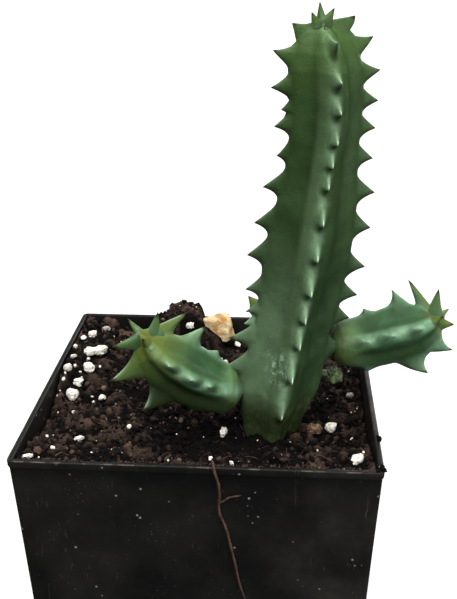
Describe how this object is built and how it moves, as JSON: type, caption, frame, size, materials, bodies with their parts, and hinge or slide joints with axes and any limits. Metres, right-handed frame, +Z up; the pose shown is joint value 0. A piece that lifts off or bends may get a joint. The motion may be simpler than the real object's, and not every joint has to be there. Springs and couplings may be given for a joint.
{
  "type": "potted lifesaver plant",
  "caption": "Ribbed succulent with rows of hooked teeth and short side branches, growing in potting mix in a tapered square nursery pot.",
  "frame": {"origin": "middle of the pot's flat underside", "axes": "+Z up out of the pot, -Y towards the front wall that the stray root hangs on"},
  "size_m": [0.0852, 0.0711, 0.1516],
  "materials": {
    "pot_plastic": "satin",
    "soil": "matte",
    "stem_skin": "satin",
    "branch_skin": "satin",
    "bud_skin": "satin",
    "root_bark": "matte",
    "tan_stone": "matte",
    "bark": "matte",
    "perlite": "matte",
    "grit": "matte"
  },
  "bodies": {
    "root": {"pot": "pot_plastic", "soil": "soil", "main_stem": "stem_skin", "left_branch": "branch_skin", "right_branch": "branch_skin", "back_offset": "branch_skin", "side_bud": "bud_skin", "stray_root": "root_bark", "tan_stone": "tan_stone", "bark_chip": "bark", "perlite_1": "perlite", "perlite_2": "perlite", "perlite_3": "perlite", "perlite_4": "perlite", "perlite_5": "perlite", "perlite_6": "perlite", "perlite_7": "perlite", "perlite_8": "perlite", "perlite_9": "perlite", "perlite_10": "perlite", "perlite_11": "perlite", "perlite_12": "perlite", "grit_1": "grit", "grit_2": "grit"}
  },
  "joints": []
}
